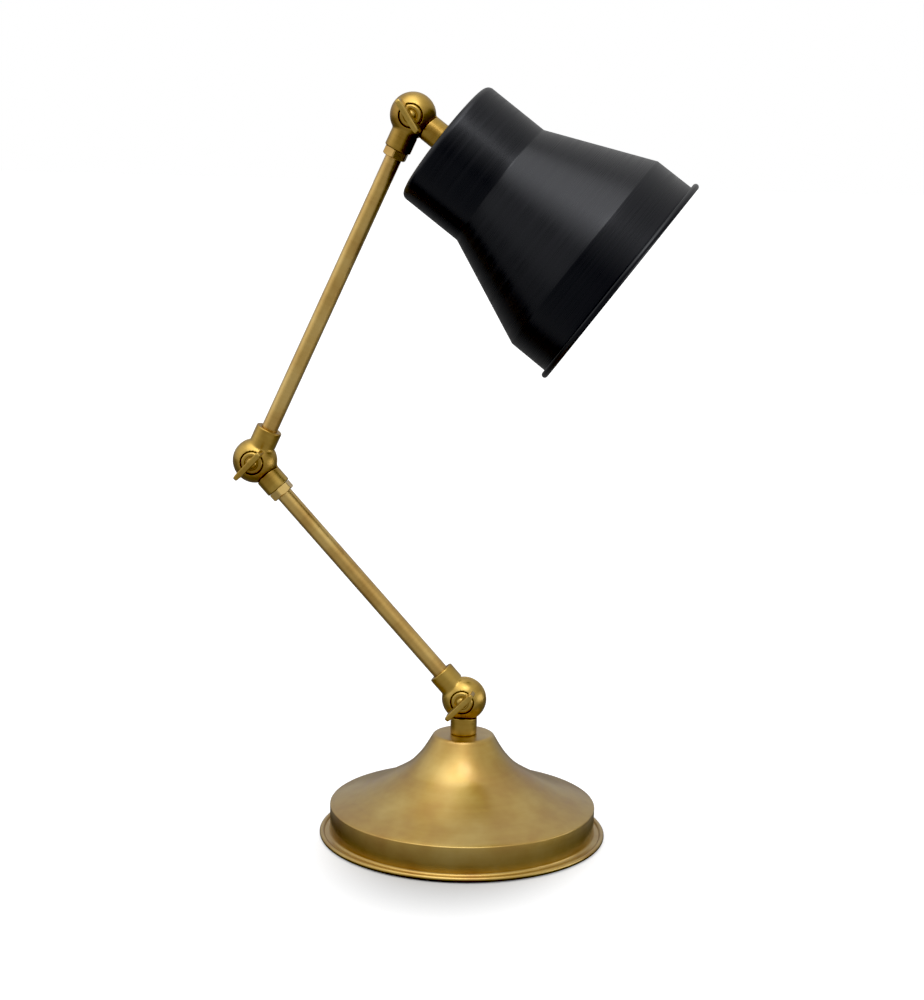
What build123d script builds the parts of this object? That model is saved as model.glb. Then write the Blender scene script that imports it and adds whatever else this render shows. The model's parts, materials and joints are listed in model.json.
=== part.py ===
from build123d import *
from math import cos, radians, sin, sqrt, tan
import os

# Swing arm desk lamp, in millimetres. Origin: centre of the foot, on the table. +Z is up, the arms
# and the shade lie in the XZ plane with the shade towards +X, and every pivot runs along Y. The
# thumb screws are on the -Y side.

# ---- Fits -------------------------------------------------------------------------------------
thread_gap = 0.04  # radial, between a male and a female thread of one body
running_gap = 0.06  # radial, between a thumb screw and the halves that it turns in
seat_gap = 0.3  # between pieces that only pass by each other
ball_gap = 0.6  # between a half ball and the stem of the other half, where it is cut round

# ---- Base -------------------------------------------------------------------------------------
base_diameter = 176.0  # over the rolled bead
bead_radius = 1.6
bead_lift = 0.4  # the bead hangs this far above the table, and the felt carries the lamp
base_wall = 1.2
lip_width = 6.3  # from the band out to the edge of the bead
band_height = 20.0
dome_cone_width = 15.6  # the plain cone inside the band's top edge
dome_cone_slope = 21.0  # degrees below level
plateau_height = 65.0
plateau_diameter = 33.0  # where the flat top starts to round over
shoulder_radius = 3.0
neck_slope = 60.0  # degrees below level, where the shoulder ends
dome_waist = ((0.19, 0.637), (0.45, 0.357))  # shares of the way out and up, on the sweep

# ---- Ballast, cover and felt --------------------------------------------------------------------
felt_thickness = 1.6
felt_inset = 2.6  # from the band's inner face
cover_thickness = 1.0
cover_gap = 0.8
weight_gap = 2.2  # from the band's inner face
weight_height = 17.0  # its flat top, above the table
weight_rim_width = 8.0  # the cone on its rim that bears on the dome
weight_recess_diameter = 25.0
weight_recess_depth = 10.4
channel_width = 9.0
cover_screw_inset = 20.0  # from the band's inner face
cover_screw_count = 3
cover_screw_start = -90.0  # degrees; keeps the screws clear of the channel at the back
cover_screw_radius = 2.0
cover_screw_length = 9.0
cover_screw_head_radius = 3.6
cover_screw_head_height = 1.5

# ---- Threaded tube and its hardware, M10 by 1 ---------------------------------------------------
tube_radius = 5.0
tube_wall = 1.5
inner_nut_wall = 3.5  # from the thread to a flat
inner_nut_thickness = 3.5
nut_face_share = 0.97  # the flat ring on a nut's face, as a share of its width
nut_bevel_angle = 35.0
washer_radius = 10.5
washer_thickness = 1.2
nipple_end = 1.0  # how far a nipple stands out of its nut

# ---- Cable inlet ------------------------------------------------------------------------------
inlet_height = 12.5
inlet_hole_radius = 4.6
inlet_bore_radius = 3.1
inlet_flange_radius = 6.4
inlet_flange_thickness = 1.7

# ---- Terminal block ---------------------------------------------------------------------------
terminal_size = (18.0, 12.0, 9.0)
terminal_distance = 44.0  # of its middle from the base's axis
terminal_pocket_gap = 1.5
terminal_screw_radius = 1.7
terminal_screw_depth = 5.0
terminal_screw_spacing = 9.0
terminal_corner = 1.5

# ---- Internal lead ----------------------------------------------------------------------------
lead_radius = 1.4
lead_bend_radius = 3.0
lead_floor_gap = 0.4

# ---- Knuckles ---------------------------------------------------------------------------------
ball_radius = 13.7
ball_depth = 11.5  # of each half, along the pivot
split_gap = 0.4  # between the two halves' flat faces
stem_wall = 3.1  # round the socket for the tube
stem_edge = 0.7
socket_depth = 7.7
passage_radius = 3.2
screw_radius = 2.5
boss_wall = 2.1  # round the screw, inside the hollow
screw_inset = 0.7  # of its tip from the far half's crown
recess_depth = 4.1  # from the near half's crown
chamber_floor_wall = 1.8  # between the recess and the hollow for the lead
wave_washer_thickness = 0.6
wave_washer_inset = 1.1  # from the recess wall
friction_washer_edge = 0.8  # from the ball's edge
friction_washer_width = 2.5
friction_washer_thickness = 0.75
friction_washer_stand = 0.2  # how far it stands out of its groove
groove_wall = 0.6  # between the hollow and the washer's groove

# ---- Thumb screws -----------------------------------------------------------------------------
disc_radius = 6.9
disc_edge = 1.1
disc_rise = 1.1  # from its edge to the step
disc_crown_radius = 5.0
disc_gap = 0.4  # between the disc and the wall of its recess
step_radius = 4.3
step_depth = 0.5
button_radius = 3.4
button_height = 2.4
key_thickness = 3.0
key_width = 23.0
key_root_width = 11.0
key_shoulder = 1.1  # out from the ball's crown, where the key has its full width
key_top = 11.1  # out from the ball's crown
key_corner = 2.4
key_softness = 0.6
key_angles = {"base": 46.0, "elbow": 47.0, "head": -57.0}  # from +X up towards +Z, at rest

# ---- Arms -------------------------------------------------------------------------------------
lower_arm_length = 194.0  # pivot to pivot
lower_arm_lean = -42.6  # degrees from upright, towards +X
upper_arm_length = 230.5
upper_arm_lean = 24.3
lock_nut_wall = 1.8  # from the thread to a flat
lock_nut_thickness = 5.0
lock_nut_seat = 0.35  # the shadow line between a socket and its nut

# ---- Shade ------------------------------------------------------------------------------------
shade_dip = 37.0  # degrees below level
shade_stem_extra = 1.5  # the head's stem is this much longer than the others
shade_wall = 1.0
shade_neck_radius = 40.9
shade_back_edge = 4.0
shade_neck_length = 42.2
shade_flare_length = 63.4
shade_skirt_radius = 68.0
shade_skirt_length = 24.6
shade_lip_radius = 72.0
shade_lip_length = 3.8
shade_lip_bead = 1.25
shade_flare_blend = 5.0
shade_skirt_blend = 4.0

# ---- Lamp holder, for a screw cap 27 mm across ---------------------------------------------------
holder_start = 1.0  # past the inner nut
holder_cap_length = 13.0
holder_cap_radius = 9.5
holder_cap_slope = (1.0, 0.35)  # the way its skirt leaves the top
holder_skin = 5.6  # round the screw shell
holder_floor = 2.6
holder_mouth = 2.4  # past the screw shell's edge
holder_rim_step = 2.5
holder_rim_thickness = 3.2
insulator_thickness = 8.0
screw_shell_radius = 13.3  # inside
screw_shell_wall = 0.5
screw_shell_length = 21.0
contact_width = 6.0
contact_thickness = 0.8
contact_lift = 4.0

# ---- Places that follow from the sizes ----------------------------------------------------------
lower_direction = Vector(sin(radians(lower_arm_lean)), 0, cos(radians(lower_arm_lean)))
upper_direction = Vector(sin(radians(upper_arm_lean)), 0, cos(radians(upper_arm_lean)))
shade_direction = Vector(cos(radians(shade_dip)), 0, -sin(radians(shade_dip)))
closest_stems = (upper_direction * -1).get_angle(shade_direction)  # degrees, at the head
stem_radius = tube_radius + stem_wall
stem_crossing = (stem_radius + seat_gap) / sin(radians(closest_stems / 2))
cleared_radius = max(ball_radius + ball_gap, stem_crossing)  # where a stem becomes full round
stem_length = cleared_radius + socket_depth  # from the pivot
base_pivot = Vector(0, 0, plateau_height + stem_length)
elbow_pivot = base_pivot + lower_direction * lower_arm_length
head_pivot = elbow_pivot + upper_direction * upper_arm_length
foot_centre = Vector(0, 0, 0)
up = Vector(0, 0, 1)

tube_bore = tube_radius - tube_wall
thread_radius = tube_radius + thread_gap  # of a hole for the tube
band_radius = base_diameter / 2 - lip_width
band_flare_radius = lip_width - bead_radius  # the hollow sweep from the band out to the bead
band_inner_radius = band_radius - base_wall
bead_ring_radius = base_diameter / 2 - bead_radius
bead_height = bead_lift + bead_radius
cover_top = felt_thickness + cover_thickness

screw_length = ball_depth - screw_inset  # past the split
boss_radius = screw_radius + boss_wall
recess_radius = disc_radius + disc_gap
recess_floor = ball_depth - recess_depth
chamber_depth = recess_floor - chamber_floor_wall
friction_washer_outer = ball_radius - friction_washer_edge
friction_washer_inner = friction_washer_outer - friction_washer_width
chamber_radius = friction_washer_inner - groove_wall

os.makedirs("parts", exist_ok=True)


def save(piece, name):
    """Label a finished piece and write it to its own file."""
    piece.part.label = name
    export_step(piece.part, f"parts/{name}.step")


def axial_plane(origin, direction):
    """Sketch plane through an axis in XZ: local x is the radius, local y runs along the axis."""
    return Plane(origin=origin, x_dir=(direction.Z, 0, -direction.X), z_dir=(0, -1, 0))


def cross_plane(origin, direction, distance):
    """Sketch plane square to an axis, at a distance along it."""
    across = (1, 0, 0) if abs(direction.Y) > abs(direction.Z) else (0, 1, 0)
    return Plane(origin=origin + direction * distance, x_dir=across, z_dir=direction)


def pivot_plane(pivot, direction, side):
    """Sketch plane through a pivot: local x runs along the stem, local y outwards on one side."""
    outward = Vector(0, side, 0)
    return Plane(origin=pivot, x_dir=direction, z_dir=direction.cross(outward))


def make_ring(name, origin, direction, start, end, inner, outer):
    """A plain ring about an axis, such as a washer or a tube."""
    with BuildPart() as ring:
        with BuildSketch(cross_plane(origin, direction, start)):
            Circle(outer)
            Circle(inner, mode=Mode.SUBTRACT)
        extrude(amount=end - start)
    save(ring, name)


def make_nut(name, origin, direction, start, thickness, wall):
    """A hexagon nut on the threaded tube, chamfered on both faces, with a plain bore."""
    flat_radius = tube_radius + wall
    corner = flat_radius * 2 / sqrt(3)
    bevel_radius = flat_radius * nut_face_share
    bevel_height = (corner - bevel_radius) * tan(radians(nut_bevel_angle))
    with BuildPart() as nut:
        with BuildSketch(cross_plane(origin, direction, start)):
            RegularPolygon(flat_radius, 6, major_radius=False)
        extrude(amount=thickness)
        with BuildSketch(axial_plane(origin, direction)):
            with BuildLine():
                Polyline(
                    (0, start),
                    (bevel_radius, start),
                    (corner, start + bevel_height),
                    (corner, start + thickness - bevel_height),
                    (bevel_radius, start + thickness),
                    (0, start + thickness),
                    close=True,
                )
            make_face()
        revolve(axis=Axis(origin, direction), mode=Mode.INTERSECT)
        with BuildSketch(cross_plane(origin, direction, start)):
            Circle(thread_radius)
        extrude(amount=thickness, mode=Mode.SUBTRACT)
    save(nut, name)


def ring_outline(inner, outer, bottom, top):
    """The four corners of a turned hollow's outline: radius first, then depth."""
    return [(inner, bottom), (outer, bottom), (outer, top), (inner, top)]


def make_half_knuckle(name, pivot, direction, side, length):
    """One half of a knuckle: half a ball with a full round stem, hollow for the lead.

    side is -1 for a near half, which holds the thumb screw's head in a recess, and +1 for a far
    half, which has the tapped hole and the groove for the friction washer. The stem ends in a
    socket for a threaded tube, which starts just clear of the other half.
    """
    axis = Axis(pivot, (0, side, 0))
    profile = pivot_plane(pivot, direction, side)
    half_split = split_gap / 2
    groove_floor = half_split + friction_washer_thickness - friction_washer_stand
    bore_radius = screw_radius + running_gap
    hollows = [ring_outline(boss_radius, chamber_radius, 0, chamber_depth)]
    if side < 0:
        hollows.append(ring_outline(0, recess_radius, recess_floor, ball_depth))
        hollows.append(ring_outline(0, bore_radius, 0, recess_floor))
    else:
        hollows.append(ring_outline(0, bore_radius, 0, ball_depth))
        hollows.append(ring_outline(friction_washer_inner, friction_washer_outer, 0, groove_floor))
    with BuildPart() as half:
        with BuildSketch(profile):
            with BuildLine():
                EllipticalCenterArc((0, 0), ball_radius, ball_depth, 0, arc_size=90)
                Polyline((0, ball_depth), (0, 0), (ball_radius, 0))
            make_face()
        revolve(axis=axis)
        with BuildSketch(cross_plane(pivot, direction, 0)):
            Circle(stem_radius)
        extrude(amount=length)
        stem_rim = half.edges().filter_by(GeomType.CIRCLE).sort_by(Axis(pivot, direction))[-1]
        fillet(stem_rim, stem_edge)
        # The other half's room and the turned hollows
        with BuildSketch(profile):
            with BuildLine():
                EllipticalCenterArc(
                    (0, 0), cleared_radius, ball_depth + ball_gap, -90, arc_size=90
                )
                Polyline(
                    (cleared_radius, 0),
                    (cleared_radius, half_split),
                    (0, half_split),
                    (0, -ball_depth - ball_gap),
                )
            make_face()
            for outline in hollows:
                with BuildLine():
                    Polyline(*outline, close=True)
                make_face()
        revolve(axis=axis, mode=Mode.SUBTRACT)
        with BuildSketch(cross_plane(pivot, direction, boss_radius + passage_radius)):
            Circle(passage_radius)
        extrude(amount=length, mode=Mode.SUBTRACT)
        with BuildSketch(cross_plane(pivot, direction, cleared_radius)):
            Circle(thread_radius)
        extrude(amount=length, mode=Mode.SUBTRACT)
    save(half, name)


def make_thumb_screw(name, pivot, key_angle):
    """A thumb screw: shank, domed disc with a step and a button, and a flat key across it."""
    outward = Vector(0, -1, 0)
    direction = Vector(cos(radians(key_angle)), 0, sin(radians(key_angle)))
    profile = pivot_plane(pivot, direction, -1)
    axis = Axis(pivot, outward)
    seat = recess_floor + wave_washer_thickness + seat_gap / 2
    edge_top = seat + disc_edge
    step_top = edge_top + disc_rise
    step_floor = step_top - step_depth
    shoulder = ball_depth + key_shoulder
    top = ball_depth + key_top
    with BuildPart() as screw:
        with BuildSketch(profile):
            with BuildLine():
                Polyline(
                    (0, -screw_length),
                    (screw_radius, -screw_length),
                    (screw_radius, seat),
                    (disc_radius, seat),
                    (disc_radius, edge_top),
                )
                RadiusArc((disc_radius, edge_top), (step_radius, step_top), -disc_crown_radius)
                Polyline((step_radius, step_top), (step_radius, step_floor), (button_radius, step_floor))
                EllipticalCenterArc((0, step_floor), button_radius, button_height, 0, arc_size=90)
                Line((0, step_floor + button_height), (0, -screw_length))
            make_face()
        revolve(axis=axis)
        key_side = profile.offset(-key_thickness / 2)
        with BuildSketch(key_side):
            with BuildLine():
                Polyline(
                    (-key_root_width / 2, seat + disc_edge / 2),
                    (key_root_width / 2, seat + disc_edge / 2),
                    (key_root_width / 2, edge_top + disc_rise),
                    (key_width / 2, shoulder),
                    (key_width / 2, top),
                    (-key_width / 2, top),
                    (-key_width / 2, shoulder),
                    (-key_root_width / 2, edge_top + disc_rise),
                    close=True,
                )
            make_face()
        extrude(amount=key_thickness)
        upright_edges = screw.edges().filter_by(Axis(pivot, direction.cross(outward)))
        outer_corners = upright_edges.group_by(Axis(pivot, outward))[-1]
        fillet(outer_corners, key_corner)
        outline = screw.faces().sort_by(Axis(pivot, outward))[-1].edges()
        fillet(outline, key_softness)
    save(screw, name)


# ---- Base shell ---------------------------------------------------------------------------------
cone_tangent = Vector(cos(radians(dome_cone_slope)), -sin(radians(dome_cone_slope)))
neck_tangent = Vector(cos(radians(neck_slope)), -sin(radians(neck_slope)))
cone_inner_radius = band_radius - dome_cone_width
cone_top = band_height + dome_cone_width * tan(radians(dome_cone_slope))
shoulder_start = plateau_diameter / 2
shoulder_end = Vector(
    shoulder_start + shoulder_radius * sin(radians(neck_slope)),
    plateau_height - shoulder_radius * (1 - cos(radians(neck_slope))),
)
sweep_width = cone_inner_radius - shoulder_end.X
sweep_height = shoulder_end.Y - cone_top
waist_points = [
    (shoulder_end.X + out * sweep_width, cone_top + rise * sweep_height) for out, rise in dome_waist
]
flare_top = bead_height + band_flare_radius
flare_end = Vector(bead_ring_radius, bead_height)
inner_drop = base_wall / cos(radians(dome_cone_slope))  # of the cone's inner face, straight down
inner_corner_height = band_height + base_wall * tan(radians(dome_cone_slope)) - inner_drop
sweep_shares = (0.0, 0.15, 0.3, 0.45, 0.6, 0.8, 1.0)


def inside(line, share):
    """The point on the inner face opposite the point at a share of an outer line's length."""
    tangent = line % share
    return line @ share + Vector(tangent.Y, -tangent.X) * base_wall


with BuildPart() as base_shell:
    with BuildSketch(Plane.XZ):
        with BuildLine():
            Line((thread_radius, plateau_height), (shoulder_start, plateau_height))
            JernArc((shoulder_start, plateau_height), (1, 0), shoulder_radius, -neck_slope)
            neck_curve = Spline(
                shoulder_end,
                *waist_points,
                (cone_inner_radius, cone_top),
                tangents=(neck_tangent, cone_tangent),
            )
            Polyline(neck_curve @ 1, (band_radius, band_height), (band_radius, flare_top))
            JernArc((band_radius, flare_top), (0, -1), band_flare_radius, 90)
            Line(flare_end, flare_end - Vector(0, base_wall))
            JernArc(flare_end - Vector(0, base_wall), (-1, 0), band_flare_radius + base_wall, -90)
            inner_points = [inside(neck_curve, share) for share in reversed(sweep_shares)]
            Polyline(
                (band_inner_radius, flare_top), (band_inner_radius, inner_corner_height), inner_points[0]
            )
            Spline(*inner_points, tangents=(cone_tangent * -1, neck_tangent * -1))
            RadiusArc(
                inner_points[-1],
                (shoulder_start, plateau_height - base_wall),
                shoulder_radius - base_wall,
            )
            Polyline(
                (shoulder_start, plateau_height - base_wall),
                (thread_radius, plateau_height - base_wall),
                (thread_radius, plateau_height),
            )
        make_face()
        with Locations((bead_ring_radius, bead_height)):
            Circle(bead_radius)
    revolve(axis=Axis.Z)
    with BuildSketch(Plane.XZ.offset(-band_radius - base_wall)):
        with Locations((0, inlet_height)):
            Circle(inlet_hole_radius)
    extrude(amount=lip_width, mode=Mode.SUBTRACT)
save(base_shell, "base_shell")

# ---- Ballast, cover, felt and their screws --------------------------------------------------------
weight_radius = band_inner_radius - weight_gap
rim_outer_height = inner_corner_height + weight_gap * tan(radians(dome_cone_slope))
rim_inner_height = rim_outer_height + weight_rim_width * tan(radians(dome_cone_slope))
recess_top = cover_top + weight_recess_depth
nipple_hole_radius = tube_radius + seat_gap
block_length, block_width, block_height = terminal_size
cover_screw_ring = band_inner_radius - cover_screw_inset
channel_length = weight_radius - terminal_distance

with BuildPart() as base_weight:
    with BuildSketch(Plane.XZ):
        with BuildLine():
            Polyline(
                (nipple_hole_radius, cover_top),
                (weight_radius, cover_top),
                (weight_radius, rim_outer_height),
                (weight_radius - weight_rim_width, rim_inner_height),
                (weight_radius - weight_rim_width, weight_height),
                (nipple_hole_radius, weight_height),
                close=True,
            )
        make_face()
    revolve(axis=Axis.Z)
    with BuildSketch(Plane.XY.offset(cover_top)):
        Circle(weight_recess_diameter / 2)
    extrude(amount=weight_recess_depth, mode=Mode.SUBTRACT)
    # The channel for the lead out to the terminals, their pocket, and the cord's way in from there
    with BuildSketch(Plane.XY.offset(cover_top)):
        with Locations((0, terminal_distance / 2)):
            Rectangle(channel_width, terminal_distance)
        with Locations((0, terminal_distance)):
            Rectangle(block_length + 2 * terminal_pocket_gap, block_width + 2 * terminal_pocket_gap)
    extrude(amount=block_height + terminal_pocket_gap, mode=Mode.SUBTRACT)
    with BuildSketch(Plane.XY.offset(cover_top)):
        with Locations((0, weight_radius - channel_length / 2)):
            Rectangle(channel_width, channel_length)
    extrude(amount=rim_inner_height, mode=Mode.SUBTRACT)
    with BuildSketch(Plane.XY.offset(cover_top)):
        with PolarLocations(cover_screw_ring, cover_screw_count, cover_screw_start):
            Circle(cover_screw_radius + thread_gap)
    extrude(amount=cover_screw_length, mode=Mode.SUBTRACT)
save(base_weight, "base_weight")

with BuildPart() as base_cover:
    with BuildSketch(Plane.XY.offset(felt_thickness)):
        Circle(band_inner_radius - cover_gap)
        with PolarLocations(cover_screw_ring, cover_screw_count, cover_screw_start):
            Circle(cover_screw_radius + seat_gap, mode=Mode.SUBTRACT)
    extrude(amount=cover_thickness)
save(base_cover, "base_cover")

with BuildPart() as felt_pad:
    with BuildSketch():
        Circle(band_inner_radius - felt_inset)
        with PolarLocations(cover_screw_ring, cover_screw_count, cover_screw_start):
            Circle(cover_screw_head_radius + seat_gap, mode=Mode.SUBTRACT)
    extrude(amount=felt_thickness)
save(felt_pad, "felt_pad")

with BuildPart() as cover_screws:
    with BuildSketch(Plane.XY.offset(felt_thickness - cover_screw_head_height)):
        with PolarLocations(cover_screw_ring, cover_screw_count, cover_screw_start):
            Circle(cover_screw_head_radius)
    extrude(amount=cover_screw_head_height)
    with BuildSketch(Plane.XY.offset(felt_thickness)):
        with PolarLocations(cover_screw_ring, cover_screw_count, cover_screw_start):
            Circle(cover_screw_radius)
    extrude(amount=cover_thickness + cover_screw_length - seat_gap)
save(cover_screws, "cover_screws")

# ---- Nipple, washer and nut that hold the knuckle, the shell and the ballast together ---------------
nut_top = recess_top - washer_thickness
nipple_bottom = nut_top - inner_nut_thickness - nipple_end
nipple_top = plateau_height + socket_depth
make_ring("base_nipple", foot_centre, up, nipple_bottom, nipple_top, tube_bore, tube_radius)
make_ring("base_washer", foot_centre, up, nut_top, recess_top, thread_radius, washer_radius)
make_nut(
    "base_nut", foot_centre, up, nut_top - inner_nut_thickness, inner_nut_thickness, inner_nut_wall
)

# ---- Cable inlet bush, at the back of the band ------------------------------------------------------
bush_plane = Plane(origin=(0, 0, inlet_height), x_dir=(0, 0, 1), z_dir=(-1, 0, 0))
bush_groove_start = sqrt(band_inner_radius**2 - inlet_flange_radius**2) - thread_gap
bush_groove_end = band_radius + thread_gap
with BuildPart() as inlet_bush:
    with BuildSketch(bush_plane):
        with BuildLine():
            Polyline(
                (inlet_bore_radius, bush_groove_start - inlet_flange_thickness),
                (inlet_flange_radius, bush_groove_start - inlet_flange_thickness),
                (inlet_flange_radius, bush_groove_start),
                (inlet_hole_radius - thread_gap, bush_groove_start),
                (inlet_hole_radius - thread_gap, bush_groove_end),
                (inlet_flange_radius, bush_groove_end),
                (inlet_flange_radius, bush_groove_end + inlet_flange_thickness),
                (inlet_bore_radius, bush_groove_end + inlet_flange_thickness),
                close=True,
            )
        make_face()
    revolve(axis=Axis((0, 0, inlet_height), (0, 1, 0)))
save(inlet_bush, "inlet_bush")

# ---- Terminal block in the ballast's pocket, where a supply cord joins the lamp's own lead -----------
block_bottom = cover_top + lead_floor_gap
lead_height = block_bottom + lead_radius
screw_spots = [(side * terminal_screw_spacing / 2, terminal_distance) for side in (-1, 1)]
with BuildPart() as terminal_block:
    with BuildSketch(Plane.XY.offset(block_bottom)):
        with Locations((0, terminal_distance)):
            RectangleRounded(block_length, block_width, terminal_corner)
    extrude(amount=block_height)
    with BuildSketch(Plane.XY.offset(block_bottom + block_height)):
        with Locations(screw_spots):
            Circle(terminal_screw_radius + thread_gap)
    extrude(amount=-terminal_screw_depth, mode=Mode.SUBTRACT)
save(terminal_block, "terminal_block")

with BuildPart() as terminal_screws:
    with BuildSketch(Plane.XY.offset(block_bottom + block_height)):
        with Locations(screw_spots):
            Circle(terminal_screw_radius)
    extrude(amount=-terminal_screw_depth)
save(terminal_screws, "terminal_screws")

# ---- The lamp's own lead, one length in each body -------------------------------------------------
lead_inset = cleared_radius + seat_gap  # of each length's end from a pivot
lead_start = base_pivot.Z - lead_inset
lead_end = terminal_distance - block_width / 2
with BuildPart() as base_lead:
    with BuildLine() as lead_route:
        FilletPolyline(
            (0, 0, lead_start),
            (0, 0, lead_height),
            (0, lead_end, lead_height),
            radius=lead_bend_radius,
        )
    with BuildSketch(Plane(origin=(0, 0, lead_start), z_dir=(0, 0, -1))):
        Circle(lead_radius)
    sweep()
save(base_lead, "base_lead")


def make_straight_lead(name, start, direction, length):
    """The lead inside one straight tube."""
    with BuildPart() as lead:
        with BuildSketch(cross_plane(start, direction, 0)):
            Circle(lead_radius)
        extrude(amount=length)
    save(lead, name)


# ---- Knuckles -------------------------------------------------------------------------------------
def make_washers(joint, pivot):
    """The friction washer in the far half's groove and the wave washer under the thumb screw."""
    washer_face = split_gap / 2 - friction_washer_stand
    make_ring(
        f"{joint}_friction_washer",
        pivot,
        Vector(0, 1, 0),
        washer_face,
        washer_face + friction_washer_thickness,
        friction_washer_inner + thread_gap,
        friction_washer_outer - thread_gap,
    )
    make_ring(
        f"{joint}_wave_washer",
        pivot,
        Vector(0, -1, 0),
        recess_floor,
        recess_floor + wave_washer_thickness,
        screw_radius + seat_gap,
        recess_radius - wave_washer_inset,
    )


shade_seat = stem_length + shade_stem_extra  # of the shade's back from the head pivot
make_half_knuckle("base_knuckle_far", base_pivot, up * -1, 1, stem_length)
make_half_knuckle("base_knuckle_near", base_pivot, lower_direction, -1, stem_length)
make_half_knuckle("elbow_knuckle_far", elbow_pivot, lower_direction * -1, 1, stem_length)
make_half_knuckle("elbow_knuckle_near", elbow_pivot, upper_direction, -1, stem_length)
make_half_knuckle("head_knuckle_near", head_pivot, upper_direction * -1, -1, stem_length)
make_half_knuckle("head_knuckle_far", head_pivot, shade_direction, 1, shade_seat)
for joint, pivot in (("base", base_pivot), ("elbow", elbow_pivot), ("head", head_pivot)):
    make_washers(joint, pivot)
    make_thumb_screw(f"{joint}_thumb_screw", pivot, key_angles[joint])

# ---- Arms: a tube between two sockets, and the lock nut at its upper end -----------------------------
def make_arm(arm, foot, direction, length):
    """One arm's tube, the lock nut at its top and the lead inside it."""
    tube_end = length - cleared_radius
    make_ring(f"{arm}_tube", foot, direction, cleared_radius, tube_end, tube_bore, tube_radius)
    make_nut(
        f"{arm}_lock_nut",
        foot,
        direction,
        length - stem_length - lock_nut_seat - lock_nut_thickness,
        lock_nut_thickness,
        lock_nut_wall,
    )
    make_straight_lead(
        f"{arm}_lead", foot + direction * lead_inset, direction, length - 2 * lead_inset
    )


make_arm("lower_arm", base_pivot, lower_direction, lower_arm_length)
make_arm("upper_arm", elbow_pivot, upper_direction, upper_arm_length)

# ---- Shade ----------------------------------------------------------------------------------------
flare_start = shade_seat + shade_neck_length
skirt_start = flare_start + shade_flare_length
lip_start = skirt_start + shade_skirt_length
rim = lip_start + shade_lip_length
shade_plane = axial_plane(head_pivot, shade_direction)
shade_axis = Axis(head_pivot, shade_direction)
with BuildPart() as shade_shell:
    with BuildSketch(shade_plane):
        with BuildLine():
            FilletPolyline(
                (thread_radius, shade_seat),
                (shade_neck_radius, shade_seat),
                (shade_neck_radius, flare_start),
                (shade_skirt_radius, skirt_start),
                (shade_skirt_radius, lip_start),
                (shade_lip_radius - shade_lip_bead, rim - shade_lip_bead),
                radius=[shade_back_edge, shade_flare_blend, shade_skirt_blend, shade_lip_length],
            )
            offset(amount=shade_wall, side=Side.LEFT)
        make_face()
        with Locations((shade_lip_radius - shade_lip_bead, rim - shade_lip_bead)):
            Circle(shade_lip_bead)
    revolve(axis=shade_axis)
save(shade_shell, "shade_shell")

# ---- Nipple, washer and nut that hold the shade on its stem -----------------------------------------
shade_inside = shade_seat + shade_wall
shade_nut_start = shade_inside + washer_thickness
shade_nut_end = shade_nut_start + inner_nut_thickness
cap_start = shade_nut_end + holder_start
cap_socket_end = cap_start + socket_depth
make_ring(
    "shade_nipple",
    head_pivot,
    shade_direction,
    cleared_radius,
    cap_socket_end - nipple_end,
    tube_bore,
    tube_radius,
)
make_ring(
    "shade_washer",
    head_pivot,
    shade_direction,
    shade_inside,
    shade_nut_start,
    thread_radius,
    washer_radius,
)
make_nut(
    "shade_nut", head_pivot, shade_direction, shade_nut_start, inner_nut_thickness, inner_nut_wall
)

# ---- Lamp holder ------------------------------------------------------------------------------------
body_start = cap_start + holder_cap_length
insulator_start = body_start + holder_floor
insulator_end = insulator_start + insulator_thickness
contact_top = insulator_end + contact_lift + contact_thickness
shell_start = contact_top + seat_gap
shell_end = shell_start + screw_shell_length
body_end = shell_end + holder_mouth
holder_inner_radius = screw_shell_radius + screw_shell_wall + thread_gap
holder_radius = holder_inner_radius + holder_skin
holder_rim_radius = holder_radius + holder_rim_step
with BuildPart() as holder_cap:
    with BuildSketch(shade_plane):
        with BuildLine():
            Line((0, cap_start), (holder_cap_radius, cap_start))
            Spline(
                (holder_cap_radius, cap_start),
                (holder_radius, body_start),
                tangents=(holder_cap_slope, (0, 1)),
            )
            Polyline((holder_radius, body_start), (0, body_start), (0, cap_start))
        make_face()
    revolve(axis=shade_axis)
    with BuildSketch(cross_plane(head_pivot, shade_direction, cap_start)):
        Circle(thread_radius)
    extrude(amount=socket_depth, mode=Mode.SUBTRACT)
    with BuildSketch(cross_plane(head_pivot, shade_direction, cap_start)):
        Circle(passage_radius)
    extrude(amount=holder_cap_length, mode=Mode.SUBTRACT)
save(holder_cap, "holder_cap")

with BuildPart() as holder_body:
    with BuildSketch(shade_plane):
        with BuildLine():
            Polyline(
                (passage_radius, body_start),
                (holder_radius, body_start),
                (holder_radius, body_end - holder_rim_thickness),
                (holder_rim_radius, body_end - holder_rim_thickness),
                (holder_rim_radius, body_end),
                (holder_inner_radius, body_end),
                (holder_inner_radius, insulator_start),
                (passage_radius, insulator_start),
                close=True,
            )
        make_face()
    revolve(axis=shade_axis)
save(holder_body, "holder_body")

make_ring(
    "holder_insulator",
    head_pivot,
    shade_direction,
    insulator_start,
    insulator_end,
    passage_radius,
    holder_inner_radius - thread_gap,
)
make_ring(
    "holder_screw_shell",
    head_pivot,
    shade_direction,
    shell_start,
    shell_end,
    screw_shell_radius,
    screw_shell_radius + screw_shell_wall,
)

with BuildPart() as holder_contact:
    with BuildSketch(shade_plane):
        with BuildLine():
            Polyline(
                (-contact_width, insulator_end),
                (0, insulator_end),
                (contact_width / 2, insulator_end + contact_lift),
                (contact_width, insulator_end + contact_lift),
            )
            offset(amount=contact_thickness, side=Side.LEFT)
        make_face()
    extrude(amount=contact_width / 2, both=True)
save(holder_contact, "holder_contact")

make_straight_lead(
    "head_lead",
    head_pivot + shade_direction * lead_inset,
    shade_direction,
    insulator_end - lead_inset,
)
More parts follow.
